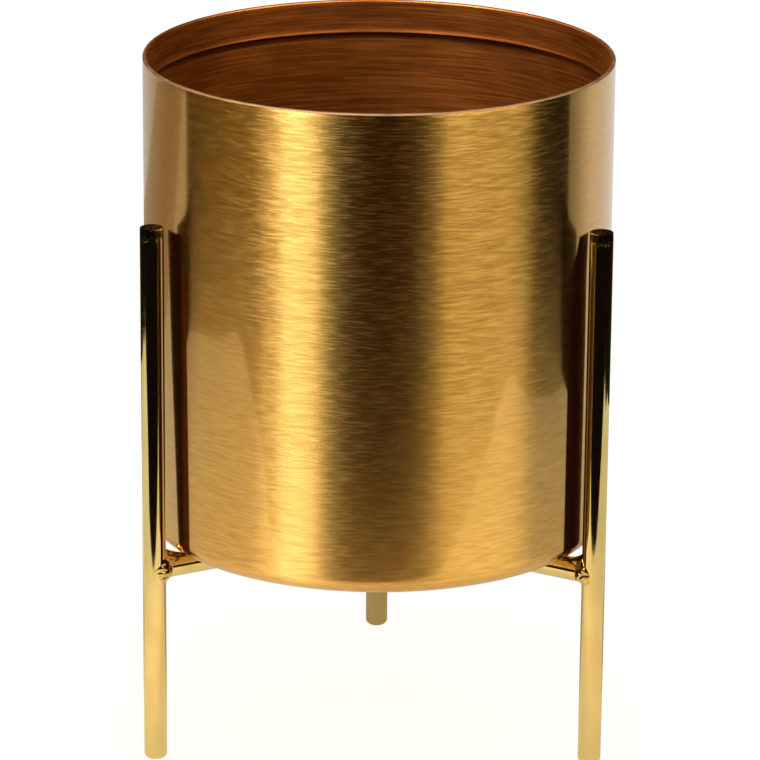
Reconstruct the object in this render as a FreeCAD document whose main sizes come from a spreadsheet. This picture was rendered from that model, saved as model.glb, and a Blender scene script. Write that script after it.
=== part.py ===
import FreeCAD, Part
import os

import Sketcher

# Footed planter: a round sheet-metal pot standing loose in a welded rod tripod.
# The origin is on the floor, on the pot's axis. +Z is up, and the rear leg stands on +Y.

# Driving sizes, in millimetres
DRIVING_SIZES = {
    "pot_outer_diameter": 120.0,
    "pot_height": 124.4,
    "sheet_thickness": 0.5,
    "bottom_bend_radius": 4.0,
    "hem_depth": 9.0,
    "rim_edge_break": 0.3,
    "seat_height": 55.3,
    "seat_clearance": 0.3,
    "rod_diameter": 6.0,
    "foot_rounding": 1.6,
    "leg_top_break": 0.6,
    "leg_height": 143.0,
    "leg_gap": 1.8,
    "weld_leg": 1.2,
    "weld_throat": 0.7,
    "hub_weld_radius": 8.0,
    "hub_weld_cap": 0.8,
    "hub_weld_rise": 1.0,
}

# The legs stand evenly round the pot, the first one behind it
LEG_SIDES = ("rear", "left", "right")
REAR_AZIMUTH = 90
LEG_STEP = 360 // len(LEG_SIDES)

LEFT_TURN = 1
RIGHT_TURN = -1
CENTRE = FreeCAD.Vector(0, 0, 0)
UPWARD = FreeCAD.Vector(0, 0, 1)
ALONG_Y = FreeCAD.Vector(0, 1, 0)

doc = FreeCAD.newDocument("FootedPlanter")
sizes = doc.addObject("Spreadsheet::Sheet", "Sizes")
for row, (name, size) in enumerate(DRIVING_SIZES.items(), start=1):
    sizes.set(f"A{row}", name)
    sizes.set(f"B{row}", str(size))
    sizes.setAlias(f"B{row}", name)
doc.recompute()

# Sizes that several pieces share, as expressions on the sheet
POT_RADIUS = "(Sizes.pot_outer_diameter / 2)"
POT_BOTTOM = "(Sizes.seat_height + Sizes.seat_clearance)"
ROD_RADIUS = "(Sizes.rod_diameter / 2)"
LEG_CIRCLE = f"({POT_RADIUS} + Sizes.leg_gap + {ROD_RADIUS})"
SPOKE_HEIGHT = f"(Sizes.seat_height - {ROD_RADIUS})"


def value(expression):
    """The present value of a size expression."""
    return float(sizes.evalExpression(expression))


def new_sketch(body, name, role):
    """A sketch on one of the body's own origin planes."""
    sketch = body.newObject("Sketcher::SketchObject", name)
    plane = next(f for f in body.Origin.OriginFeatures if f.Role == role)
    sketch.AttachmentSupport = [(plane, "")]
    sketch.MapMode = "FlatFace"
    return sketch


def pin_point(sketch, geometry, point, across, up):
    """Ties a sketch point to its two size expressions; "0" puts it on the sketch's axis."""
    ties = (("DistanceX", across, -2), ("DistanceY", up, -1))
    for kind, expression, axis in ties:
        if expression == "0":
            sketch.addConstraint(Sketcher.Constraint("PointOnObject", geometry, point, axis))
        else:
            tie = Sketcher.Constraint(kind, -1, 1, geometry, point, value(expression))
            index = sketch.addConstraint(tie)
            sketch.setExpression(f"Constraints[{index}]", expression)


def arc_between(start, end, centre_height, turn):
    """The arc from start to end, turning left or right, with its centre at the given height."""
    squares = (start.x**2 - end.x**2) + (start.y - centre_height) ** 2 - (end.y - centre_height) ** 2
    centre = FreeCAD.Vector(squares / (2 * (start.x - end.x)), centre_height, 0)
    circle = Part.Circle(centre, UPWARD, start.distanceToPoint(centre))
    first, last = (start, end) if turn == LEFT_TURN else (end, start)
    return Part.ArcOfCircle(circle, circle.parameter(first), circle.parameter(last))


def draw_outline(sketch, corners):
    """Draws a closed outline whose corners and arc centres follow the size expressions.

    A corner is (across, up, bend). Bend is None where a straight line leaves the corner,
    and (centre height, turn) where an arc does.
    """
    points = [FreeCAD.Vector(value(across), value(up), 0) for across, up, _ in corners]
    ends = []
    for index, (_, _, bend) in enumerate(corners):
        start = points[index]
        end = points[(index + 1) % len(points)]
        if bend is None:
            sketch.addGeometry(Part.LineSegment(start, end))
            ends.append((1, 2))
        else:
            sketch.addGeometry(arc_between(start, end, value(bend[0]), bend[1]))
            ends.append((1, 2) if bend[1] == LEFT_TURN else (2, 1))
    for index, (across, up, bend) in enumerate(corners):
        following = (index + 1) % len(corners)
        sketch.addConstraint(
            Sketcher.Constraint("Coincident", index, ends[index][1], following, ends[following][0])
        )
        pin_point(sketch, index, ends[index][0], across, up)
        if bend is not None:
            tie = Sketcher.Constraint("DistanceY", -1, 1, index, 3, value(bend[0]))
            tied = sketch.addConstraint(tie)
            sketch.setExpression(f"Constraints[{tied}]", bend[0])


def turned_body(label, corners):
    """A body turned about its own Z axis from half of its section."""
    body = doc.addObject("PartDesign::Body", label)
    body.Label = label
    sketch = new_sketch(body, f"{label}_section", "XZ_Plane")
    draw_outline(sketch, corners)
    turn = body.newObject("PartDesign::Revolution", f"{label}_turn")
    turn.Profile = sketch
    turn.ReferenceAxis = (sketch, ["V_Axis"])
    turn.Angle = 360
    return body


def make_pot():
    """The pot: one drawn sheet cup with a rounded bottom edge and its rim pressed flat inwards as a hem."""
    sheet = "Sizes.sheet_thickness"
    bend = "Sizes.bottom_bend_radius"
    inside = f"({POT_RADIUS} - {sheet})"
    hem_face = f"({inside} - {sheet})"
    hem_end = "(Sizes.pot_height - Sizes.hem_depth)"
    shoulder = "(Sizes.pot_height - Sizes.rim_edge_break)"
    floor_edge = f"({POT_RADIUS} - {bend})"
    corners = [
        ("0", "0", None),
        (floor_edge, "0", (bend, LEFT_TURN)),
        (POT_RADIUS, bend, None),
        (POT_RADIUS, shoulder, None),
        (f"({POT_RADIUS} - Sizes.rim_edge_break)", "Sizes.pot_height", None),
        (f"({hem_face} + Sizes.rim_edge_break)", "Sizes.pot_height", None),
        (hem_face, shoulder, None),
        (hem_face, hem_end, None),
        (inside, hem_end, None),
        (inside, bend, (bend, RIGHT_TURN)),
        (floor_edge, sheet, None),
        ("0", sheet, None),
    ]
    pot = turned_body("pot_shell", corners)
    pot.setExpression("Placement.Base.z", POT_BOTTOM)
    return pot


def make_leg(side, azimuth):
    """A leg: a straight rod with a rounded foot and a deburred top, standing clear of the pot's wall."""
    rounding = "Sizes.foot_rounding"
    shoulder = "(Sizes.leg_height - Sizes.leg_top_break)"
    corners = [
        ("0", "0", None),
        (f"({ROD_RADIUS} - {rounding})", "0", (rounding, LEFT_TURN)),
        (ROD_RADIUS, rounding, None),
        (ROD_RADIUS, shoulder, None),
        (f"({ROD_RADIUS} - Sizes.leg_top_break)", "Sizes.leg_height", None),
        ("0", "Sizes.leg_height", None),
    ]
    leg = turned_body(f"leg_{side}", corners)
    leg.setExpression("Placement.Base.x", f"{LEG_CIRCLE} * cos({azimuth} deg)")
    leg.setExpression("Placement.Base.y", f"{LEG_CIRCLE} * sin({azimuth} deg)")
    return leg


def cut_upright(body, sketch, name):
    """Cuts the sketch's area out of the body from top to bottom, and checks that it took metal away."""
    doc.recompute()
    before = body.Shape.Volume
    cut = body.newObject("PartDesign::Pocket", name)
    cut.Profile = sketch
    cut.Type = "ThroughAll"
    cut.SideType = "Symmetric"
    doc.recompute()
    if not body.Shape.Volume < before:
        raise RuntimeError(f"{name} cuts nothing")


def make_spoke(side, azimuth):
    """A spoke: a rod from the centre to its leg, coped round the leg and mitred to the other two."""
    label = f"spoke_{side}"
    spoke = doc.addObject("PartDesign::Body", label)
    spoke.Label = label

    section = new_sketch(spoke, f"{label}_section", "YZ_Plane")
    section.addGeometry(Part.Circle(CENTRE, UPWARD, value(ROD_RADIUS)))
    section.addConstraint(Sketcher.Constraint("Coincident", 0, 3, -1, 1))
    section.addConstraint(Sketcher.Constraint("Radius", 0, value(ROD_RADIUS)))
    section.setExpression("Constraints[1]", ROD_RADIUS)
    rod = spoke.newObject("PartDesign::Pad", f"{label}_rod")
    rod.Profile = section
    rod.setExpression("Length", LEG_CIRCLE)

    cope = new_sketch(spoke, f"{label}_cope", "XY_Plane")
    leg_centre = FreeCAD.Vector(value(LEG_CIRCLE), 0, 0)
    cope.addGeometry(Part.Circle(leg_centre, UPWARD, value(ROD_RADIUS)))
    pin_point(cope, 0, 3, LEG_CIRCLE, "0")
    radius = cope.addConstraint(Sketcher.Constraint("Radius", 0, value(ROD_RADIUS)))
    cope.setExpression(f"Constraints[{radius}]", ROD_RADIUS)
    cut_upright(spoke, cope, f"{label}_cope_cut")

    # The mitre leaves a point of twice 60 degrees, so three rod ends close the full circle
    mitre = new_sketch(spoke, f"{label}_mitre", "XY_Plane")
    side_reach = "Sizes.rod_diameter"
    mitre_reach = f"({side_reach} / tan(60 deg))"
    corners = [
        ("0", "0", None),
        (mitre_reach, side_reach, None),
        (f"(0 - {side_reach})", side_reach, None),
        (f"(0 - {side_reach})", f"(0 - {side_reach})", None),
        (mitre_reach, f"(0 - {side_reach})", None),
    ]
    draw_outline(mitre, corners)
    cut_upright(spoke, mitre, f"{label}_mitre_cut")

    spoke.Placement = FreeCAD.Placement(CENTRE, FreeCAD.Rotation(UPWARD, azimuth))
    spoke.setExpression("Placement.Base.z", SPOKE_HEIGHT)
    return spoke


def cut_away(label, base, tools):
    """The base with each tool's shape taken out of it in turn; the last cut carries the label."""
    for index, tool in enumerate(tools):
        cut = doc.addObject("Part::Cut", f"{label}_less_{index + 1}")
        cut.Base = base
        cut.Tool = tool
        base = cut
    base.Label = label
    return base


def make_leg_weld(side, azimuth, leg, spoke):
    """The weld between a leg and its spoke: a fillet of metal along the saddle line where the rods meet.

    It is the metal that lies within the weld's leg length of both rods, crowned by a ball.
    """
    label = f"weld_{side}"
    reach = f"({ROD_RADIUS} + Sizes.weld_leg)"
    outward = FreeCAD.Rotation(UPWARD, azimuth)
    inward_along_spoke = outward.multiply(FreeCAD.Rotation(ALONG_Y, -90))
    round_leg = doc.addObject("Part::Cylinder", f"{label}_round_leg")
    round_leg.setExpression("Radius", reach)
    round_leg.setExpression("Height", f"2 * {reach}")
    round_spoke = doc.addObject("Part::Cylinder", f"{label}_round_spoke")
    round_spoke.setExpression("Radius", reach)
    round_spoke.setExpression("Height", reach)
    crown = doc.addObject("Part::Sphere", f"{label}_crown")
    crown.setExpression("Radius", f"{ROD_RADIUS} * sqrt(2) + Sizes.weld_throat")
    seats = (
        (round_leg, outward, f"{SPOKE_HEIGHT} - {reach}"),
        (round_spoke, inward_along_spoke, SPOKE_HEIGHT),
        (crown, outward, SPOKE_HEIGHT),
    )
    for solid, turn, height in seats:
        solid.Placement = FreeCAD.Placement(CENTRE, turn)
        solid.setExpression("Placement.Base.x", f"{LEG_CIRCLE} * cos({azimuth} deg)")
        solid.setExpression("Placement.Base.y", f"{LEG_CIRCLE} * sin({azimuth} deg)")
        solid.setExpression("Placement.Base.z", height)
    fillet = doc.addObject("Part::MultiCommon", f"{label}_fillet")
    fillet.Shapes = [round_leg, round_spoke, crown]
    return cut_away(label, fillet, [leg, spoke])


def make_hub_weld(spokes):
    """The weld at the centre: a cone of metal that caps the mitres and fills their corners."""
    bottom = f"(0 - {ROD_RADIUS} - Sizes.hub_weld_cap)"
    rise = "Sizes.hub_weld_rise"
    corners = [
        ("0", bottom, None),
        (ROD_RADIUS, bottom, None),
        ("Sizes.hub_weld_radius", rise, None),
        ("0", rise, None),
    ]
    cone = turned_body("hub_weld_cone", corners)
    cone.setExpression("Placement.Base.z", SPOKE_HEIGHT)
    return cut_away("hub_weld", cone, spokes)


# The assembly
pieces = [make_pot()]
spokes = []
for position, side in enumerate(LEG_SIDES):
    azimuth = REAR_AZIMUTH + position * LEG_STEP
    leg = make_leg(side, azimuth)
    spoke = make_spoke(side, azimuth)
    spokes.append(spoke)
    pieces += [leg, spoke, make_leg_weld(side, azimuth, leg, spoke)]
pieces.append(make_hub_weld(spokes))
doc.recompute()

# Every feature and every piece is sound before anything is written
for item in doc.Objects:
    if "Invalid" in item.State or "Error" in item.State:
        raise RuntimeError(f"{item.Label} did not build: {item.State}")
for piece in pieces:
    if piece.Shape.isNull() or not piece.Shape.isValid():
        raise RuntimeError(f"{piece.Label} has no sound shape")
    if len(piece.Shape.Solids) != 1:
        raise RuntimeError(f"{piece.Label} is {len(piece.Shape.Solids)} solids")

os.makedirs("parts", exist_ok=True)
for piece in pieces:
    piece.Shape.exportStep(f"parts/{piece.Label}.step")
    box = piece.Shape.BoundBox
    print(f"{piece.Label}: {piece.Shape.Volume:.1f} mm3, z {box.ZMin:.2f} to {box.ZMax:.2f}")
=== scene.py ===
# %% [markdown]
# # A footed planter in brushed brass
#
# The planter is a drawn sheet-metal cup that stands loose in a welded tripod of polished rod.
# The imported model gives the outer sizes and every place. This lesson dresses it: each piece becomes a
# fine surface worked out as whole arrays, and each finish is a small network of shader nodes.

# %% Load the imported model
import math

import bpy
import numpy as np
from mathutils import Matrix, Vector


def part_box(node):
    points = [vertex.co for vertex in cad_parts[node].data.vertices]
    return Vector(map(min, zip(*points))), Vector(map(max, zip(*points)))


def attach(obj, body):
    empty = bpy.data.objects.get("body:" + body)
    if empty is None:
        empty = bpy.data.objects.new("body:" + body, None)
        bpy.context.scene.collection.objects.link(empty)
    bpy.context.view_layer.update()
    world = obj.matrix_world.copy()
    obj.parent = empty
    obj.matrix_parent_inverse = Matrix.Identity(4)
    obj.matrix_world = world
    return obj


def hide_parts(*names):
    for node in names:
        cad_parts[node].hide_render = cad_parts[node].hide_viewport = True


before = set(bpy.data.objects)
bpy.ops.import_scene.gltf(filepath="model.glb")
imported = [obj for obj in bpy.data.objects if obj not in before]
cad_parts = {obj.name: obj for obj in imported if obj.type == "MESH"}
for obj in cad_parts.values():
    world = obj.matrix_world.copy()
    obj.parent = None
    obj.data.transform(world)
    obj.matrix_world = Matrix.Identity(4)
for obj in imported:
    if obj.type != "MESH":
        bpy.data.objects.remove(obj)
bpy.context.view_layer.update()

MM = 0.001

# %% [markdown]
# ## The camera
#
# A pinhole camera was fitted to the rim, the pot's sides and the legs: it stands a good metre away,
# looks down on the planter by 18 degrees and has a long lens. The orbit is written as a distance, an
# elevation and the height it turns about. Three small angles trim the aim, as a tripod head would.

# %% Camera
CAMERA_DISTANCE = 1.16104
CAMERA_ELEVATION = 0.31566
CAMERA_AZIMUTH = 0.00854
ORBIT_HEIGHT = 0.09477
PAN, TILT, ROLL = 0.00079, -0.00153, 0.00822
FOCAL_PIXELS = 4474.1
IMAGE_PIXELS = 760
SENSOR_WIDTH = 36.0
CLIP_END = 50


def aim_camera():
    """The camera on its orbit, turned by pan and tilt and then rolled about its own line of sight."""
    level = Vector((math.sin(CAMERA_AZIMUTH), -math.cos(CAMERA_AZIMUTH), 0))
    back = math.cos(CAMERA_ELEVATION) * level + Vector((0, 0, math.sin(CAMERA_ELEVATION)))
    forward = -back
    right = Vector((-level.y, level.x, 0))
    up = right.cross(forward)
    forward = (forward + PAN * right + TILT * up).normalized()
    right = forward.cross(up).normalized()
    up = right.cross(forward)
    across = math.cos(ROLL) * right + math.sin(ROLL) * up
    upward = math.cos(ROLL) * up - math.sin(ROLL) * right
    data = bpy.data.cameras.new("camera")
    data.sensor_width = SENSOR_WIDTH
    data.lens = FOCAL_PIXELS / IMAGE_PIXELS * SENSOR_WIDTH
    data.clip_end = CLIP_END
    camera = bpy.data.objects.new("camera", data)
    place = Matrix((across, upward, -forward)).transposed().to_4x4()
    place.translation = Vector((0, 0, ORBIT_HEIGHT)) + CAMERA_DISTANCE * back
    camera.matrix_world = place
    bpy.context.scene.collection.objects.link(camera)
    bpy.context.scene.camera = camera
    return camera


camera = aim_camera()
bpy.context.scene.view_settings.view_transform = "Standard"
print("camera at", [round(v, 3) for v in camera.matrix_world.translation], "m")

# %% [markdown]
# ## Surfaces from grids
#
# Every piece is one grid of points: rows follow a section, and columns go round it. One helper turns
# such a grid into a closed mesh, with a single vertex at each pole. Two more string straight runs and
# round arcs together into a section, so a section lists only its own corners.

# %% Grid to mesh
def skin(name, grid, start=None, end=None, materials=(), parts=None):
    """A closed, smooth mesh over grid[row, column]: columns close on themselves.

    Rows close on themselves too when no poles are given; otherwise start and end are the pole points.
    parts gives each band between two rows its material.
    """
    rows, columns = grid.shape[:2]
    index = np.arange(rows * columns).reshape(rows, columns)
    lower, upper = (index, np.roll(index, -1, axis=0)) if start is None else (index[:-1], index[1:])
    quads = np.stack([lower, np.roll(lower, -1, 1), np.roll(upper, -1, 1), upper], axis=-1)
    points = grid.reshape(-1, 3)
    faces = quads.reshape(-1, 4).tolist()
    slots = np.repeat(np.zeros(len(lower), int) if parts is None else parts, columns)
    if start is not None:
        poles = len(points) + np.arange(2)
        points = np.vstack([points, start, end])
        first, last = index[0], index[-1]
        faces += np.stack([np.full(columns, poles[0]), np.roll(first, -1), first], axis=-1).tolist()
        faces += np.stack([last, np.roll(last, -1), np.full(columns, poles[1])], axis=-1).tolist()
        slots = np.concatenate([slots, np.repeat(slots[[0, -1]], columns)])
    mesh = bpy.data.meshes.new(name)
    mesh.from_pydata(points, [], faces)
    for material in materials:
        mesh.materials.append(material)
    mesh.polygons.foreach_set("material_index", slots)
    mesh.polygons.foreach_set("use_smooth", np.ones(len(faces), bool))
    mesh.validate()
    piece = bpy.data.objects.new(name, mesh)
    bpy.context.scene.collection.objects.link(piece)
    return piece


def run(start, end, count):
    """Points along a straight run, its end left to what follows."""
    return np.linspace(start, end, count, endpoint=False)


def arc(centre, radius, first, last, count):
    """Points along an arc from the first angle to the last, in degrees, its end left to what follows."""
    angle = np.radians(np.linspace(first, last, count, endpoint=False))
    return np.asarray(centre) + radius * np.stack([np.cos(angle), np.sin(angle)], axis=-1)


def turned(section, columns, centre=(0, 0)):
    """The section's (radius, height) points carried round an upright axis: x = r cos a, y = r sin a."""
    angle = np.linspace(0, 2 * np.pi, columns, endpoint=False)
    radius, height = section[:, :1], section[:, 1:]
    x = centre[0] + radius * np.cos(angle)
    y = centre[1] + radius * np.sin(angle)
    return np.stack([x, y, height + 0 * angle], axis=-1)


def seat(piece, body, node):
    """The piece rides on its body and stands for its node, whose imported part is hidden."""
    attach(piece, body)
    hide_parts(node)
    print(f"{piece.name}: {len(piece.data.polygons)} faces, for {node} on {body}")
    return piece


# %% [markdown]
# ## Shader maths as expressions
#
# A finish is easier to read as a formula than as a wiring diagram. `Wire` holds one socket, and adding
# or multiplying wires adds the Math nodes. `Finish` makes a material, and its `node` method makes any
# other node: its type, then its settings, then what goes into its sockets.

# %% Wires and finishes
class Wire:
    """One output socket, with the operators of arithmetic."""

    def __init__(self, finish, socket):
        self.finish = finish
        self.socket = socket

    def math(self, operation, *values):
        """A Math node on these values, which are wires or numbers."""
        inputs = dict(enumerate(values))
        return self.finish.node("ShaderNodeMath", {"operation": operation}, inputs)

    def __add__(self, other):
        return self.math("ADD", self, other)

    def __sub__(self, other):
        return self.math("SUBTRACT", self, other)

    def __rsub__(self, other):
        return self.math("SUBTRACT", other, self)

    def __mul__(self, other):
        return self.math("MULTIPLY", self, other)

    def __truediv__(self, other):
        return self.math("DIVIDE", self, other)

    __radd__ = __add__
    __rmul__ = __mul__

    def larger(self, other):
        """The larger of two values."""
        return self.math("MAXIMUM", self, other)

    def ramp(self, low, high, to_low=0.0, to_high=1.0):
        """A soft step: to_low up to low, to_high from high on."""
        values = {"Value": self, "From Min": low, "From Max": high, "To Min": to_low, "To Max": to_high}
        settings = {"interpolation_type": "SMOOTHSTEP"}
        return self.finish.node("ShaderNodeMapRange", settings, values, "Result")


class Finish:
    """A material under construction, or the world's tree, with one way to make any node."""

    def __init__(self, owner):
        owner.use_nodes = True
        self.owner = owner
        self.tree = owner.node_tree
        self.tree.nodes.clear()

    def node(self, kind, settings=None, inputs=None, output=0):
        """A node of this kind, and the wire from one of its outputs if it has any."""
        made = self.tree.nodes.new(kind)
        for name, value in (settings or {}).items():
            setattr(made, name, value)
        for name, value in (inputs or {}).items():
            if isinstance(value, Wire):
                self.tree.links.new(value.socket, made.inputs[name])
            else:
                made.inputs[name].default_value = value
        return Wire(self, made.outputs[output]) if made.outputs else None

    def here(self):
        """Object coordinates, in metres."""
        return self.node("ShaderNodeTexCoord", output="Object")

    def along(self, axis):
        """One of the three Object coordinates: X to the right, Y to the back, Z up from the floor."""
        return self.node("ShaderNodeSeparateXYZ", inputs={0: self.here()}, output=axis)

    def noise(self, scale, detail, roughness=0.55):
        """Cloudy noise from 0 to 1 with so many features to the metre along each axis."""
        place = self.node("ShaderNodeMapping", inputs={"Vector": self.here(), "Scale": scale})
        inputs = {"Vector": place, "Scale": 1.0, "Detail": detail, "Roughness": roughness}
        return self.node("ShaderNodeTexNoise", inputs=inputs)

    def blend(self, factor, low, high):
        """A colour between two colours."""
        inputs = {0: factor, 6: low, 7: high}
        return self.node("ShaderNodeMix", {"data_type": "RGBA"}, inputs, 2)

    def mix(self, factor, first, second):
        """A shader between two shaders."""
        return self.node("ShaderNodeMixShader", inputs={0: factor, 1: first, 2: second})

    def bump(self, height, distance):
        """A normal for a relief whose white parts stand so far, in metres, above its black ones."""
        inputs = {"Height": height, "Distance": distance, "Strength": 1.0}
        return self.node("ShaderNodeBump", inputs=inputs, output="Normal")

    def metal(self, **sockets):
        """A metal, with underscores for the spaces in the names of its sockets."""
        inputs = {name.replace("_", " "): value for name, value in sockets.items()}
        return self.node("ShaderNodeBsdfPrincipled", inputs={"Metallic": 1.0, **inputs})

    def glow(self, colour, strength=1.0):
        """A self-lit shader that is only seen: it isn't searched for as a lamp."""
        self.owner.cycles.emission_sampling = "NONE"
        return self.node("ShaderNodeEmission", inputs={"Color": colour, "Strength": strength})

    def surface(self, shader):
        """The shader goes to the output of the material or of the world, which is then done."""
        kind = "World" if isinstance(self.owner, bpy.types.World) else "Material"
        self.node(f"ShaderNodeOutput{kind}", inputs={"Surface": shader})
        return self.owner


# %% [markdown]
# ## The brushed outside
#
# The pot was brushed round its axis and then lacquered. Brush lines blur a reflection across themselves
# only, so the metal is anisotropic, with the wide blur upright, and the lacquer is a sharp clear coat.
# Fine streaks, far longer than they are high, vary the colour, the roughness and the relief. Where a
# stroke bit deeper, a broader metal is mixed in, which frays the edges of the bright bands. The lands
# between the strokes kept their polish, so a share of a nearly sharp metal lies over both.

# %% Brushed brass
BRASS_DARK, BRASS_LIGHT = (0.573, 0.324, 0.0665, 1), (0.697, 0.42, 0.1015, 1)
BRASS_CLOUD, CLOUD_SHARE = (0.63, 0.35, 0.082, 1), 0.22
FINE_STROKES, BROAD_STROKES, CLOUDS = (220, 220, 2900), (100, 100, 2600), (30, 30, 22)
QUARTER_TURN = 0.25
STROKE_RELIEF = 0.003 * MM
DEEP_SHARE, LAND_SHARE = 0.6, 0.2


def brushed_brass():
    finish = Finish(bpy.data.materials.new("brushed_brass"))
    streaks = 0.7 * finish.noise(FINE_STROKES, detail=1.0) + 0.3 * finish.noise(BROAD_STROKES, detail=1.0)
    cloud = finish.noise(CLOUDS, detail=2.0).ramp(0.35, 0.75, 0.0, CLOUD_SHARE)
    colour = finish.blend(streaks.ramp(0.36, 0.64), BRASS_DARK, BRASS_LIGHT)
    colour = finish.blend(cloud, colour, BRASS_CLOUD)
    brushed = finish.metal(
        Base_Color=colour,
        Roughness=finish.along("Z").ramp(0.06, 0.18, 0.19, 0.17) + 0.05 * streaks,
        Anisotropic=0.96,
        Anisotropic_Rotation=QUARTER_TURN,
        Coat_Weight=0.6,
        Coat_Roughness=0.02,
        Coat_IOR=1.5,
        Normal=finish.bump(streaks, STROKE_RELIEF),
    )
    deep = finish.metal(
        Base_Color=colour,
        Roughness=0.25,
        Anisotropic=0.84,
        Anisotropic_Rotation=QUARTER_TURN,
    )
    lands = finish.metal(Base_Color=colour, Roughness=0.06)
    strokes = finish.mix(streaks.ramp(0.5, 0.6, 0.0, DEEP_SHARE), brushed, deep)
    return finish.surface(finish.mix(LAND_SHARE, strokes, lands))


# %% [markdown]
# ## The dull inside
#
# The inside was left as it came from the press. Drawing the cup pulls fine marks up its wall, so here
# the wider blur lies sideways. Faint rings and a cloudy tarnish mottle the brown metal. Its very dark
# base colour is partly tarnish and partly painted shade, which keeps the deep cup dim under the lamps.

# %% Dull inside
# Both tones are partly tarnish and partly painted shade: far darker than the metal, so the cup stays dim
# under the lamps.
TARNISH_AND_SHADE_DARK, TARNISH_AND_SHADE_LIGHT = (0.098, 0.0275, 0.0047, 1), (0.17, 0.051, 0.0087, 1)
INSIDE_RINGS, TARNISH_CLOUDS = (60, 60, 1500), (45, 45, 60)
RING_RELIEF = 0.02 * MM


def dull_inside():
    finish = Finish(bpy.data.materials.new("dull_inside"))
    rings = finish.noise(INSIDE_RINGS, detail=4.0)
    mottle = 0.5 * finish.noise(TARNISH_CLOUDS, detail=4.0) + 0.5 * rings
    return finish.surface(finish.metal(
        Base_Color=finish.blend(mottle.ramp(0.34, 0.68), TARNISH_AND_SHADE_DARK, TARNISH_AND_SHADE_LIGHT),
        Roughness=rings.ramp(0.3, 0.7, 0.39, 0.44),
        Anisotropic=0.42,
        Normal=finish.bump(rings, RING_RELIEF),
    ))


# %% [markdown]
# ## The rubbed rim
#
# The outer side of the fold is touched each time the pot is lifted out, so it has worn to a soft sheen.
# The fold is only a millimetre across, but it draws the thin line round the opening. Its blur is the
# same both ways, and a dark, rough metal keeps the line from glaring under the lamps.

# %% Rubbed rim
RIM_DARK, RIM_LIGHT = (0.07, 0.039, 0.02, 1), (0.11, 0.065, 0.034, 1)
RIM_WEAR = (220, 220, 900)


def rubbed_rim():
    finish = Finish(bpy.data.materials.new("rubbed_rim"))
    wear = finish.noise(RIM_WEAR, detail=3.0)
    return finish.surface(finish.metal(
        Base_Color=finish.blend(wear.ramp(0.3, 0.7), RIM_DARK, RIM_LIGHT),
        Roughness=wear.ramp(0.3, 0.7, 0.58, 0.68),
    ))


# %% [markdown]
# ## The polished rod
#
# The stand was polished and plated, so it mirrors the room almost sharply. A fine grain keeps it from
# looking like glass. Small pits gather in a few patches and close under the sawn tops, where plating
# takes badly. The cut faces are rough, and the tops of the legs are painted near-black: painted shade
# that dims the reflections on them.

# %% Polished rod
ROD_DARK, ROD_LIGHT, ROD_TOP_SHADE = (0.80, 0.61, 0.215, 1), (0.87, 0.69, 0.265, 1), (0.07, 0.05, 0.022, 1)
ROD_CLOUDS, ROD_GRAIN = (120, 120, 60), (900, 900, 500)
PIT_PATCHES, PITS = (60, 60, 34), (2400, 2400, 2400)
PITTED_FROM, PITTED_FULL = 0.1385, 0.1415
CUT_FROM, CUT_FULL = 0.1402, 0.1412
PIT_DEPTH = 0.04 * MM


def polished_rod():
    finish = Finish(bpy.data.materials.new("polished_rod"))
    height = finish.along("Z")
    grain = finish.noise(ROD_GRAIN, detail=3.0)
    patches = finish.noise(PIT_PATCHES, detail=2.0).ramp(0.7, 0.8)
    pits = finish.noise(PITS, detail=1.0).ramp(0.6, 0.7)
    pitted = pits * patches.larger(height.ramp(PITTED_FROM, PITTED_FULL))
    # Near the tops the colour goes near-black, which is painted shade that dims their reflections. The
    # added roughness there is the cut's own.
    cut_and_shade = height.ramp(CUT_FROM, CUT_FULL)
    colour = finish.blend(finish.noise(ROD_CLOUDS, detail=3.0).ramp(0.3, 0.7), ROD_DARK, ROD_LIGHT)
    return finish.surface(finish.metal(
        Base_Color=finish.blend(cut_and_shade, colour, ROD_TOP_SHADE),
        Roughness=grain.ramp(0.2, 0.8, 0.045, 0.09) + 0.1 * pitted + 0.2 * cut_and_shade,
        Normal=finish.bump(0.05 * grain - pitted, PIT_DEPTH),
    ))


# %% [markdown]
# ## The weld metal
#
# Weld metal freezes with a grainy skin, and the plating follows it. So it has the rod's gold in more
# varied tones, a softer mirror and a small relief, while the shape itself carries the ripples.

# %% Weld metal
WELD_DARK, WELD_LIGHT = (0.60, 0.38, 0.11, 1), (0.86, 0.64, 0.23, 1)
WELD_GRAIN = (1600, 1600, 1600)
WELD_RELIEF = 0.03 * MM


def weld_metal():
    finish = Finish(bpy.data.materials.new("weld_metal"))
    grain = finish.noise(WELD_GRAIN, detail=4.0)
    return finish.surface(finish.metal(
        Base_Color=finish.blend(grain.ramp(0.3, 0.7), WELD_DARK, WELD_LIGHT),
        Roughness=grain.ramp(0.2, 0.8, 0.1, 0.24),
        Normal=finish.bump(grain, WELD_RELIEF),
    ))


BRUSHED, DULL, RUBBED = brushed_brass(), dull_inside(), rubbed_rim()
POLISHED, WELDED = polished_rod(), weld_metal()
print("finishes:", [m.name for m in (BRUSHED, DULL, RUBBED, POLISHED, WELDED)])

# %% [markdown]
# ## The pot
#
# The pot is one sheet: a flat floor, a bend, a straight wall and a rim that is folded inwards and pressed
# flat as a hem. Its section walks once round the sheet, from the middle of the underside to the middle
# of the floor inside. A drawn wall is never quite true, so it gets faint waves, all of them inwards.

# %% Pot section
SHEET = 0.5 * MM
HEM_DEPTH = 9.0 * MM
BOTTOM_BEND = 4.0 * MM
HEM_LIP, LIP_HEIGHT = 0.1 * MM, 1.0 * MM
FLOOR_ROWS, BEND_ROWS, WALL_ROWS = 10, 14, 84
FOLD_ROWS, FOLD_DULL_ROWS = 14, 5
HEM_ROWS, LIP_ROWS, LIP_END_ROWS = 10, 5, 8
INNER_WALL_ROWS, INNER_BEND_ROWS = 60, 12
POT_POLE_SHARE = 0.02


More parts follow.
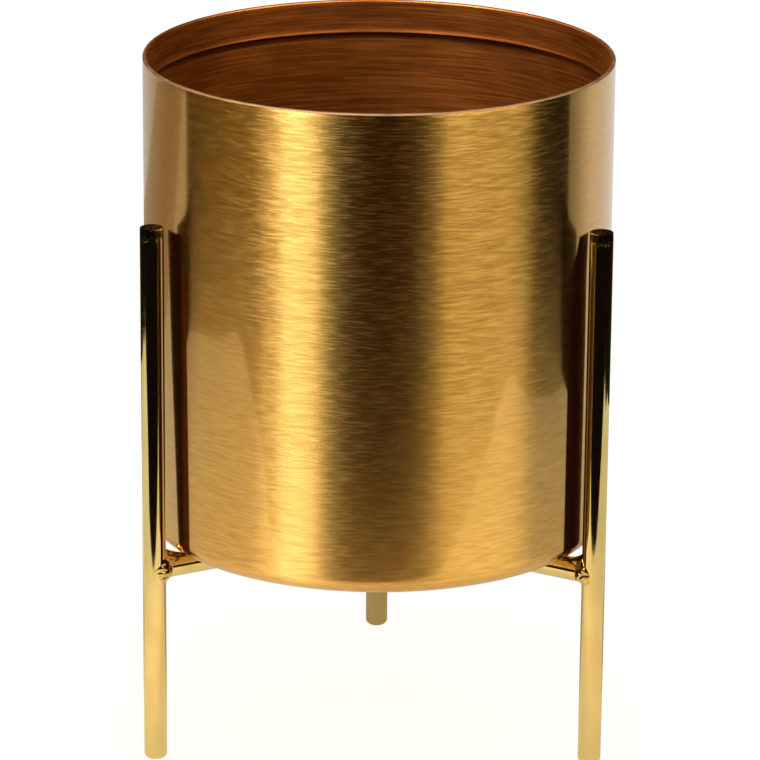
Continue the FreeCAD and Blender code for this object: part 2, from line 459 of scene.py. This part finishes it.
def pot_section(radius, bottom, top):
    """The sheet's outline as (radius, height) points, and the rows where its fold and its inside begin."""
    inner = radius - SHEET
    hem = inner - SHEET
    pole = radius * POT_POLE_SHARE
    bend = (radius - BOTTOM_BEND, bottom + BOTTOM_BEND)
    fold = (inner, top - SHEET)
    hem_end = top - HEM_DEPTH
    lip = SHEET / 2
    outside = np.vstack([
        run((pole, bottom), (bend[0], bottom), FLOOR_ROWS),
        arc(bend, BOTTOM_BEND, -90, 0, BEND_ROWS),
        run((radius, bend[1]), (radius, fold[1]), WALL_ROWS),
        arc(fold, SHEET, 0, 180, FOLD_ROWS),
    ])
    inside = np.vstack([
        run((hem, fold[1]), (hem, hem_end + LIP_HEIGHT), HEM_ROWS),
        run((hem, hem_end + LIP_HEIGHT), (hem - HEM_LIP, hem_end + lip), LIP_ROWS),
        arc((hem - HEM_LIP + lip, hem_end + lip), lip, 180, 330, LIP_END_ROWS),
        run((inner, hem_end), (inner, bend[1]), INNER_WALL_ROWS),
        arc(bend, BOTTOM_BEND - SHEET, 0, -90, INNER_BEND_ROWS),
        run((bend[0], bottom + SHEET), (pole, bottom + SHEET), FLOOR_ROWS),
    ])
    starts = (len(outside) - FOLD_ROWS, len(outside) - FOLD_DULL_ROWS)
    return np.vstack([outside, inside]), starts


# %% Pot
POT_COLUMNS = 288
WAVE_DEPTH = 0.04 * MM
WAVES = 3


def pot_sheet():
    """The section carried round the axis, drawn in by up to WAVE_DEPTH in waves of 5, 8 and 13 lobes."""
    low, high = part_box("pot_shell")
    radius = (high.x - low.x) / 2
    section, starts = pot_section(radius, low.z, high.z)
    grid = turned(section, POT_COLUMNS)
    angle = np.linspace(0, 2 * np.pi, POT_COLUMNS, endpoint=False)
    up = (section[:, 1:] - low.z) / (high.z - low.z)
    wave = np.sin(5 * angle + 3 * up) + np.sin(8 * angle - 7 * up + 1) + np.sin(13 * angle + 2)
    inward = WAVE_DEPTH * (wave - WAVES) / (2 * WAVES) * np.clip(section[:, :1] / radius, 0, 1) ** 4
    grid[..., 0] += inward * np.cos(angle)
    grid[..., 1] += inward * np.sin(angle)
    parts = np.digitize(np.arange(len(section) - 1), starts)
    poles = (0, 0, low.z), (0, 0, low.z + SHEET)
    return skin("pot_sheet", grid, *poles, materials=(BRUSHED, RUBBED, DULL), parts=parts)


pot = seat(pot_sheet(), "pot", "pot_shell")

# %% [markdown]
# ## Legs
#
# A leg is a straight polished rod. Its foot is rounded over, and its top is cut square and only broken
# at the edge. The same section serves all three legs, carried round each leg's own axis.

# %% Legs
FOOT_ROUNDING = 1.6 * MM
TOP_ROUNDING = 0.25 * MM
ROD_COLUMNS = 72
CAP_ROWS, FOOT_ROWS, LEG_ROWS, TOP_ROWS = 4, 12, 90, 8
ROD_POLE_SHARE = 0.1
SIDES = ("rear", "left", "right")


def leg_section(radius, height):
    """A rod's (radius, height) outline from the middle of its foot to the middle of its top."""
    pole = radius * ROD_POLE_SHARE
    foot = (radius - FOOT_ROUNDING, FOOT_ROUNDING)
    top = (radius - TOP_ROUNDING, height - TOP_ROUNDING)
    return np.vstack([
        run((pole, 0), (foot[0], 0), CAP_ROWS),
        arc(foot, FOOT_ROUNDING, -90, 0, FOOT_ROWS),
        run((radius, foot[1]), (radius, top[1]), LEG_ROWS),
        arc(top, TOP_ROUNDING, 0, 90, TOP_ROWS),
        run((top[0], height), (pole, height), CAP_ROWS),
    ])


def leg_rod(side):
    """The leg's section carried round the middle of its own box."""
    low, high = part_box(f"leg_{side}")
    centre = ((low.x + high.x) / 2, (low.y + high.y) / 2)
    radius = min(high.x - low.x, high.y - low.y) / 2
    grid = turned(leg_section(radius, high.z), ROD_COLUMNS, centre)
    poles = (*centre, low.z), (*centre, high.z)
    return skin(f"rod_leg_{side}", grid, *poles, materials=[POLISHED])


legs = {side: seat(leg_rod(side), "stand", f"leg_{side}") for side in SIDES}

# %% [markdown]
# ## Spokes
#
# Three rods run from the middle to the legs, just under the pot. Each is coped, so that its end fits
# round its leg, and mitred to the other two. Both ends follow from the circle: a point that lies s to
# the side of the spoke's axis starts at s / tan 60 and ends at the leg's axis less sqrt(r2 - s2).

# %% Spokes
SPOKE_CAP_RINGS, SPOKE_RINGS = 8, 60
MITRE_ANGLE = math.radians(60)
UP = np.array([0, 0, 1.0])


def outward(side):
    """The level directions out along a spoke and to its left, and the leg's distance from the axis."""
    low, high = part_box(f"leg_{side}")
    leg = np.array([(low.x + high.x) / 2, (low.y + high.y) / 2, 0])
    reach = np.linalg.norm(leg)
    out = leg / reach
    return out, np.array([-out[1], out[0], 0]), reach


def spoke_rod(side):
    """Rings that open on the mitre, run along the rod and close on the cope."""
    low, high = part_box(f"spoke_{side}")
    radius, middle = (high.z - low.z) / 2, (high.z + low.z) / 2
    out, left, reach = outward(side)
    turn = np.linspace(0, 2 * np.pi, ROD_COLUMNS, endpoint=False)
    caps, length = np.linspace(ROD_POLE_SHARE, 1, SPOKE_CAP_RINGS), np.linspace(0, 1, SPOKE_RINGS)
    share = np.concatenate([caps, np.ones(len(length) - 2), caps[::-1]])[:, None]
    along = np.concatenate([0 * caps, length[1:-1], np.ones(len(caps))])[:, None]
    aside, rise = share * radius * np.sin(turn), share * radius * np.cos(turn)
    start = np.abs(aside) / math.tan(MITRE_ANGLE)
    end = reach - np.sqrt(np.maximum(radius**2 - aside**2, 0))
    far = start + along * (end - start)
    grid = far[..., None] * out + aside[..., None] * -left + rise[..., None] * UP
    grid[..., 2] += middle
    poles = (0, 0, middle), (*((reach - radius) * out)[:2], middle)
    return skin(f"rod_spoke_{side}", grid, *poles, materials=[POLISHED])


for side in SIDES:
    seat(spoke_rod(side), "stand", f"spoke_{side}")

# %% [markdown]
# ## Welds
#
# Where a spoke meets its leg, a fillet of weld metal fills the corner all the way round. Its two edges,
# the toes, lie on the two rods, and the metal froze in small pools that leave ripples. So the weld is a
# ring of curves, one for each angle round the spoke, from a toe on the leg to a toe on the spoke.

# %% The line between leg and spoke
CREASE_SOFTENING = 0.02


def saddle_points(side, turn):
    """Two functions for points near the saddle line at angles t round the spoke, and the way out of it.

    Unrolled flat, the leg holds the line as (r asin(sin t), r cos t); a toe lies so far outside it.
    On the spoke the line lies r |cos t| short of the leg's axis; a toe lies so far before it.
    """
    low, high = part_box(f"spoke_{side}")
    radius, middle = (high.z - low.z) / 2, (high.z + low.z) / 2
    out, left, reach = outward(side)
    aside, rise = np.sin(turn), np.cos(turn)

    def point(far, sideways, height):
        level = far[..., None] * out + sideways[..., None] * left
        return level + (middle + height)[..., None] * UP

    def on_leg(beyond, depth):
        angle = np.arcsin(aside) + beyond * aside / radius
        rod = radius - depth
        return point(reach - rod * np.cos(angle), rod * np.sin(angle), (radius + beyond) * rise)

    def on_spoke(before, depth):
        rod = radius - depth
        return point(reach - radius * np.abs(rise) - before, rod * aside, rod * rise)

    away = point(-np.sqrt(rise**2 + CREASE_SOFTENING), 2 * aside, rise - middle)
    return on_leg, on_spoke, away / np.linalg.norm(away, axis=-1, keepdims=True)


# %% Welds
BEAD_STATIONS, BEAD_COLUMNS = 260, 22
BEAD_ON_LEG = {"rear": (1.0, 1.4), "left": (1.1, 1.5), "right": (0.35, 1.5)}
BEAD_ON_SPOKE = {"rear": (1.0, 2.6), "left": (1.2, 3.6), "right": (0.5, 3.0)}
BEAD_NUB = {"rear": (0.0, 0.0), "left": (0.5, 2.3), "right": (1.1, 4.2)}
BEAD_POOLS = {"rear": (13, 0.3), "left": (14, 1.1), "right": (11, 2.0)}
NUB_SPREAD = 0.22
BEAD_CROWN, BEAD_RIPPLE, BEAD_ROOT = 0.4 * MM, 0.24 * MM, 0.6 * MM
BEAD_FULL = 3.5 * MM


def weld_bead(side):
    """Toe to toe a parabola that leans towards the saddle line, lifted by a crown and by ripples.

    The tables give the toes' distances below and above the spoke, in millimetres, a nub's size and
    angle, and the number of pools with the angle at which they start.
    """
    pools, phase = BEAD_POOLS[side]
    nub, angle = BEAD_NUB[side]
    turn = np.linspace(0, 2 * np.pi, BEAD_STATIONS, endpoint=False)
    on_leg, on_spoke, away = saddle_points(side, turn)
    wander = 1 + 0.2 * np.sin(3 * turn + phase) + 0.1 * np.sin(8 * turn + 2 * phase)
    share = (1 + np.cos(turn)) / 2
    toes = BEAD_ON_LEG[side], BEAD_ON_SPOKE[side]
    up_leg, up_spoke = (MM * (below + (above - below) * share) for below, above in toes)
    lump = nub * MM * np.exp(-(((turn - angle) / NUB_SPREAD) ** 2))
    leg_toe = on_leg(up_leg * wander + lump, 0)
    spoke_toe = on_spoke(up_spoke * wander[::-1], 0)
    corner = on_spoke(0 * turn, 0)
    crown = BEAD_CROWN * np.clip((up_leg + up_spoke) / BEAD_FULL, 0, 1) + 0.4 * lump
    lean = 0.5 * corner + 0.25 * (leg_toe + spoke_toe) + crown[:, None] * away
    s = np.linspace(0, 1, BEAD_COLUMNS)
    pool = np.abs(np.sin(pools / 2 * turn[:, None] + phase + 1.6 * (s - 0.5) ** 2))
    ripple_height = BEAD_RIPPLE / BEAD_CROWN * np.minimum(crown, BEAD_CROWN)
    ripple = ripple_height[:, None] * (pool - 0.5) * np.sin(np.pi * s)
    s = s[:, None]
    curve = (1 - s) ** 2 * leg_toe[:, None] + 2 * s * (1 - s) * lean[:, None] + s**2 * spoke_toe[:, None]
    curve += ripple[..., None] * away[:, None]
    roots = [on_spoke(up_spoke, BEAD_ROOT), corner - BEAD_ROOT * away, on_leg(up_leg, BEAD_ROOT)]
    ring = np.concatenate([curve, np.stack(roots, axis=1)], axis=1)[:, ::-1]
    return skin(f"bead_{side}", ring, materials=[WELDED])


for side in SIDES:
    seat(weld_bead(side), "stand", f"weld_{side}")

# %% [markdown]
# ## The hub weld
#
# Under the middle of the pot the three spokes are tacked together by a low cone of weld metal. It stays
# below the pot, and it shows from underneath or when the pot is lifted out.

# %% Hub weld
HUB_COLUMNS = 144
HUB_BEVEL = 0.6 * MM
HUB_TIP_ROWS, HUB_EDGE_ROWS, HUB_SLOPE_ROWS, HUB_RIM_ROWS, HUB_TOP_ROWS = 6, 6, 24, 10, 12
HUB_LOBE, HUB_POOL = 0.05, 0.02
HUB_SLOPE_ANGLE = -40


def hub_bead():
    """A low cone, its slope carried round the axis with slow lobes and small pools."""
    low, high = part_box("hub_weld")
    spoke_low, spoke_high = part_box("spoke_rear")
    radius = (high.x - low.x) / 2
    rod = (spoke_high.z - spoke_low.z) / 2
    pole = rod * ROD_POLE_SHARE
    tip = (rod - HUB_BEVEL, low.z + HUB_BEVEL)
    rim = (radius - HUB_BEVEL, high.z - HUB_BEVEL)
    section = np.vstack([
        run((pole, low.z), (tip[0], low.z), HUB_TIP_ROWS),
        arc(tip, HUB_BEVEL, -90, HUB_SLOPE_ANGLE, HUB_EDGE_ROWS),
        run((rod, tip[1]), rim, HUB_SLOPE_ROWS),
        arc(rim, HUB_BEVEL, HUB_SLOPE_ANGLE, 90, HUB_RIM_ROWS),
        run((rim[0], high.z), (pole, high.z), HUB_TOP_ROWS),
    ])
    grid = turned(section, HUB_COLUMNS)
    angle = np.linspace(0, 2 * np.pi, HUB_COLUMNS, endpoint=False)
    lobes = 1 - HUB_LOBE * (1 + np.sin(3 * angle)) - HUB_POOL * np.abs(np.sin(11 * angle))
    grid[..., :2] *= lobes[:, None]
    return skin("bead_hub", grid, (0, 0, low.z), (0, 0, high.z), materials=[WELDED])


seat(hub_bead(), "stand", "hub_weld")

# %% [markdown]
# ## The room and the floor
#
# Metal shows what stands round it. The planter stands on a white board in a white room. The camera sees
# the room at full white, while the soft light that falls on matte things is weaker. From the metal the
# cloth of the next step hides the room. In the metal the floor is a little warmer and has painted shade:
# darker close behind the planter and far out to the left and right.

# %% Room
SOFT_LIGHT = 0.22
WHITE = (1, 1, 1, 1)


def seen_directly(finish):
    """1 for the camera's own rays and for rays off metal or through glass, and 0 for soft light."""
    names = ("Is Camera Ray", "Is Glossy Ray", "Is Transmission Ray")
    camera_ray, glossy, through = (finish.node("ShaderNodeLightPath", output=name) for name in names)
    return camera_ray.larger(glossy).larger(through)


def light_room():
    """A white world that is seen at full strength and lights at SOFT_LIGHT."""
    world = bpy.data.worlds.new("white_room")
    bpy.context.scene.world = world
    finish = Finish(world)
    strength = SOFT_LIGHT + (1 - SOFT_LIGHT) * seen_directly(finish)
    finish.surface(finish.node("ShaderNodeBackground", inputs={"Color": WHITE, "Strength": strength}))
    world.cycles.sampling_method = "NONE"


light_room()
print("soft light of the room:", SOFT_LIGHT)

# %% Floor
FLOOR_GLOW = 0.81
FLOOR_REACH = 9.0
FLOOR_MATTE = (0.92, 0.92, 0.92, 1)
FLOOR_WARM, FLOOR_NEAR = (1, 0.95, 0.9, 1), (0.93, 0.95, 0.92, 1)


def set_piece(name, material, points, faces):
    """A mesh that belongs to the set and not to the planter."""
    mesh = bpy.data.meshes.new(name)
    mesh.from_pydata(points, [], faces)
    mesh.materials.append(material)
    piece = bpy.data.objects.new(name, mesh)
    bpy.context.scene.collection.objects.link(piece)
    print(f"{name}: {len(faces)} faces of the set")
    return piece


def level_card(name, material, xs, ys, height):
    """A level rectangle of the set."""
    x, y = np.meshgrid(xs, ys)
    grid = np.stack([x, y, np.full_like(x, height)], axis=-1).reshape(-1, 3)
    return set_piece(name, material, grid, [(0, 1, 3, 2)])


def floor_shade(finish, near):
    """How much painted shade darkens the floor that metal sees, by the place: a sum of soft steps, in
    metres.
    """
    away = finish.node("ShaderNodeVectorMath", {"operation": "LENGTH"}, {0: finish.here()}, "Value")
    across, back = finish.along("X"), finish.along("Y")
    behind = back.ramp(-0.02, 0.06)
    overall = across.ramp(-0.1, 0.1, 0.2, 0.32) + away.ramp(0.12, 0.3, 0.1, 0.0) + 0.1 * near
    close_by = away.ramp(0.13, 0.19, 1.0, 0.0) * back.ramp(-0.01, 0.03, -0.08, 0.4)
    far_right = across.ramp(0.352, 0.36) * (back / across).ramp(0.16, 0.65, 0.68, 0.0)
    far_left = across.ramp(-0.1, 0.1, 0.32, -0.06) * behind * away.ramp(0.2, 0.45)
    return overall + close_by + far_right + far_left


def near_planter(finish):
    """1 on a ring of floor, about 20 to 35 cm from the planter's axis."""
    away = finish.node("ShaderNodeVectorMath", {"operation": "LENGTH"}, {0: finish.here()}, "Value")
    return away.ramp(0.17, 0.23) * away.ramp(0.27, 0.42, 1.0, 0.0)


def white_floor():
    """White to the camera, with the planter's soft shadow. Metal sees it warmer, with painted shade."""
    finish = Finish(bpy.data.materials.new("white_floor"))
    mirrored = finish.node("ShaderNodeLightPath", output="Is Glossy Ray")
    near = near_planter(finish)
    strength = FLOOR_GLOW * (seen_directly(finish) - mirrored * floor_shade(finish, near))
    colour = finish.blend(mirrored, WHITE, finish.blend(near, FLOOR_WARM, FLOOR_NEAR))
    matte = finish.node("ShaderNodeBsdfDiffuse", inputs={"Color": FLOOR_MATTE})
    lit_floor = {0: finish.glow(colour, strength), 1: matte}
    material = finish.surface(finish.node("ShaderNodeAddShader", inputs=lit_floor))
    reach = (-FLOOR_REACH, FLOOR_REACH)
    return level_card("floor", material, reach, reach, 0.0)


white_floor()

# %% [markdown]
# ## The black cloth
#
# The polished rods show a black stripe and the pot a dark band, because black cloth lies beyond the
# board's front and side edges. The cloth is one loft: out from the edge of the board, up a round wall
# and over the top. Most points of that edge were traced back from where the board's image ends in the
# pot. Only metal sees the cloth, so the floor stays white to the camera from every side. A dim card at
# the back left is painted shade on the board there, which only metal sees, and it gives the pot's left
# wall its brown edge in the same way.

# %% Black cloth
BOARD_EDGE = np.array([
    (-0.404, 0.070), (-0.413, 0.0), (-0.412, -0.058), (-0.406, -0.108), (-0.404, -0.148),
    (-0.397, -0.169), (-0.385, -0.178), (-0.354, -0.191), (-0.310, -0.198), (-0.271, -0.202),
    (-0.250, -0.199), (-0.222, -0.190), (-0.190, -0.174), (-0.060, -0.175), (0.0, -0.184),
    (0.056, -0.192), (0.150, -0.197), (0.202, -0.203), (0.260, -0.197), (0.298, -0.194),
    (0.334, -0.183), (0.349, -0.170), (0.352, -0.147), (0.348, -0.100), (0.350, -0.030),
    (0.353, 0.070), (1.20, 0.26), (1.20, 1.60), (-1.20, 1.60), (-1.20, 0.30), (-0.404, 0.070),
])
CLOTH_STATIONS = 400
CLOTH_HEIGHT = 0.0005
CLOTH_BLACK = (0.006, 0.004, 0.003, 1)
WALL_DISTANCE, WALL_HEIGHT = 7.0, 8.6


def mirrored_only(piece):
    """The piece shows in metal, and neither to the camera nor to soft light or shadows."""
    piece.visible_camera = False
    piece.visible_diffuse = False
    piece.visible_shadow = False
    piece.visible_transmission = False


def self_lit(name, colour):
    """A material that shows one colour under any light."""
    finish = Finish(bpy.data.materials.new(name))
    return finish.surface(finish.glow(colour))


def black_cloth():
    """A loft from the board's edge out to a circle on the floor, up a round wall and over the top."""
    steps = np.linalg.norm(np.diff(BOARD_EDGE, axis=0), axis=1)
    walked = np.concatenate([[0], np.cumsum(steps)])
    stations = np.linspace(0, walked[-1], CLOTH_STATIONS, endpoint=False)
    edge = np.stack([np.interp(stations, walked, BOARD_EDGE[:, k]) for k in (0, 1)], axis=-1)
    far = WALL_DISTANCE * (edge / np.linalg.norm(edge, axis=1, keepdims=True))
    rows = [(edge, CLOTH_HEIGHT), (far, CLOTH_HEIGHT), (far, WALL_HEIGHT), (0 * far, WALL_HEIGHT)]
    points = np.vstack([np.column_stack([row, np.full(CLOTH_STATIONS, height)]) for row, height in rows])
    index = np.arange(len(points)).reshape(len(rows), CLOTH_STATIONS)
    after = np.roll(index, -1, axis=1)
    faces = np.stack([index[:-1], after[:-1], after[1:], index[1:]], axis=-1).reshape(-1, 4)
    mirrored_only(set_piece("black_cloth", self_lit("black_cloth", CLOTH_BLACK), points, faces.tolist()))


black_cloth()

# %% Dim card of painted shade
# The dim card is painted shade on the board at the back left, seen only in metal.
CARD_SHADE_BROWN = (0.36, 0.26, 0.16, 1)
CARD_ACROSS, CARD_BACK = (-1.2, -0.02), (0.2, 0.48)
shade_card_material = self_lit("shade_card", CARD_SHADE_BROWN)
mirrored_only(level_card("shade_card", shade_card_material, CARD_ACROSS, CARD_BACK, CLOTH_HEIGHT / 2))

# %% [markdown]
# ## Flags and edge cards
#
# Each leg shows in the pot as a dark strip, and the strip's edges lean a little, because real rods are
# never quite true. The straight legs of the model are therefore hidden from mirrored rays, and a thin
# flag between pot and leg stands for each leg's image: a painted reflection, black with brown edges. To
# the leg the same flag shows a painted warm glint, as the pot's wall would. A small black card behind
# each front leg paints a dark reflection on the top of its outer edge.

# %% Flags
FLAG_RADIUS = 61.0 * MM
FLAG_HEIGHTS = np.array([50, 112, 130, 141]) * MM
FLAG_EDGES = {
    "rear": ((-4.0, -4.0, -4.0, -4.0), (4.0, 4.0, 4.0, 4.0)),
    "left": ((2.7, -1.0, -1.9, -2.6), (7.5, 6.6, 6.0, 4.4)),
    "right": ((-2.9, -3.6, -3.5, -4.0), (5.1, 4.8, 4.3, 0.7)),
}
FLAG_TURN = {"rear": 1, "left": 1, "right": -1}
FLAG_GLINT = {
    "rear": (0.2, 0.1, 0.05, 1),
    "left": (0.65, 0.38, 0.3, 1),
    "right": (0.2, 0.1, 0.05, 1),
}
FLAG_FRINGE = {"rear": 0.5, "left": 1.0, "right": 0.2}
FLAG_BLACK, FLAG_BROWN = (0.016, 0.005, 0.001, 1), (0.085, 0.024, 0.003, 1)
FLAG_MIDDLE = 1.8
FLAG_ROWS, FLAG_COLUMNS = 24, 33


def flag_finish(side):
    """A painted reflection: black with brown edges to the pot, and black with a painted glint to the leg.

    The attribute ahead holds the degrees towards the front from the leg's own direction.
    """
    finish = Finish(bpy.data.materials.new(f"leg_image_flag_{side}"))
    to_leg = finish.node("ShaderNodeNewGeometry", output="Backfacing")
    ahead = finish.node("ShaderNodeAttribute", {"attribute_name": "ahead"}, output="Fac")
    # The glint is a painted highlight, and the black with its brown fringe is a painted reflection of the
    # leg.
    glint = to_leg * ahead.ramp(1.9, 2.7) * ahead.ramp(3.0, 3.9, 1.0, 0.0)
    off_middle = ahead - FLAG_MIDDLE
    fringe = FLAG_FRINGE[side] * (1 - to_leg) * (off_middle * off_middle).ramp(2.5, 14.0)
    colour = finish.blend(fringe, FLAG_BLACK, FLAG_BROWN)
    return finish.surface(finish.glow(finish.blend(glint, colour, FLAG_GLINT[side])))


def leg_image_flag(side):
    """A strip of a cylinder between the pot and a leg.

    Its outer and front edges are angles from the leg's own direction, at each of FLAG_HEIGHTS.
    """
    out, turn = outward(side)[0], FLAG_TURN[side]
    height = np.linspace(FLAG_HEIGHTS[0], FLAG_HEIGHTS[-1], FLAG_ROWS)[:, None]
    outer, front = (np.interp(height, FLAG_HEIGHTS, edge) for edge in FLAG_EDGES[side])
    ahead = (outer + (front - outer) * np.linspace(0, 1, FLAG_COLUMNS))[:, ::turn]
    angle = math.atan2(out[1], out[0]) + turn * np.radians(ahead)
    x, y = FLAG_RADIUS * np.cos(angle), FLAG_RADIUS * np.sin(angle)
    points = np.stack([x, y, height + 0 * angle], axis=-1).reshape(-1, 3)
    index = np.arange(len(points)).reshape(FLAG_ROWS, FLAG_COLUMNS)
    faces = np.stack([index[:-1, :-1], index[1:, :-1], index[1:, 1:], index[:-1, 1:]], axis=-1)
    flag = set_piece(f"leg_image_flag_{side}", flag_finish(side), points, faces.reshape(-1, 4).tolist())
    flag.data.attributes.new("ahead", "FLOAT", "POINT").data.foreach_set("value", ahead.ravel())
    mirrored_only(flag)
    legs[side].visible_glossy = False


for side in SIDES:
    leg_image_flag(side)

# %% Edge cards, painted dark reflections
EDGE_CARD_ACROSS = (58.4 * MM, 76 * MM)
EDGE_CARD_BEHIND = 2.9 * MM
EDGE_CARD_TOP = 141 * MM
EDGE_CARD_FOOT = {"left": 106 * MM, "right": 96 * MM}
# Each card is seen only in metal, where it paints a dark reflection on the top of a front leg's outer
# edge.
EDGE_CARD_BLACK = (0.02, 0.012, 0.006, 1)


def edge_card(side, foot):
    """A small upright card that stands behind a front leg's outer side."""
    out, _, reach = outward(side)
    y = reach * out[1] + EDGE_CARD_BEHIND
    near, far = (math.copysign(x, out[0]) for x in EDGE_CARD_ACROSS)
    corners = [(near, y, foot), (far, y, foot), (far, y, EDGE_CARD_TOP), (near, y, EDGE_CARD_TOP)]
    name = f"edge_card_{side}"
    mirrored_only(set_piece(name, self_lit(name, EDGE_CARD_BLACK), corners, [(0, 1, 2, 3)]))


for side, foot in EDGE_CARD_FOOT.items():
    edge_card(side, foot)

# %% [markdown]
# ## Lamps
#
# Soft boxes stand in front, on both sides of the camera and above the planter. In the brushed wall each
# becomes an upright band: the brush lines smear it up and down, but hardly sideways. The left band has a
# paler core, so two narrower boxes overlap the left one. A warm box lights the left side, and a
# faint one the dark middle. Light linking keeps the lamps to the pot, so that the polished rods and the
# welds stay free of glare.

# %% Lamps
LAMP_DISTANCE = 6.0
LAMP_AIM_HEIGHT = 0.12
LAMP_ELEVATIONS = (14, 52)
SOFT_BOXES = {
    "soft_box_left": ((-57.5, -27.5), 38.0, (1, 0.93, 0.82)),
    "soft_box_left_near": ((-48, -30.5), 38.0, (0.92, 1.04, 1.3)),
    "soft_box_left_core": ((-48, -40), 24.0, (0.8, 1, 1.5)),
    "soft_box_right": ((33, 79), 32.0, (1, 0.9, 0.72)),
    "soft_box_side": ((-106, -56), 8.5, (1, 0.62, 0.2)),
    "soft_box_front": ((-27, 33), 0.8, (1, 0.24, 0.03)),
}
lit = bpy.data.collections.new("lit_by_lamps")
lit.objects.link(pot)


def soft_box(name, azimuths, radiance, tint):
    """An area lamp that fills a window of the sky, in degrees from the camera and above the floor.

    Its power is pi times its area times the brightness of its face.
    """
    windows = (azimuths, LAMP_ELEVATIONS)
    data = bpy.data.lights.new(name, "AREA")
    data.shape = "RECTANGLE"
    data.color = tint
    half = [math.radians(high - low) / 2 for low, high in windows]
    data.size, data.size_y = (2 * LAMP_DISTANCE * math.tan(angle) for angle in half)
    data.energy = math.pi * data.size * data.size_y * radiance
    lamp = bpy.data.objects.new(name, data)
    a, e = (math.radians(sum(window) / 2) for window in windows)
    back = Vector((math.sin(a) * math.cos(e), -math.cos(a) * math.cos(e), math.sin(e)))
    place = back.to_track_quat("Z", "Y").to_matrix().to_4x4()
    place.translation = Vector((0, 0, LAMP_AIM_HEIGHT)) + LAMP_DISTANCE * back
    lamp.matrix_world = place
    mirrored_only(lamp)
    lamp.light_linking.receiver_collection = lit
    bpy.context.scene.collection.objects.link(lamp)
    print(f"{name}: {data.energy:.1f} W")


for name, (azimuths, radiance, tint) in SOFT_BOXES.items():
    soft_box(name, azimuths, radiance, tint)
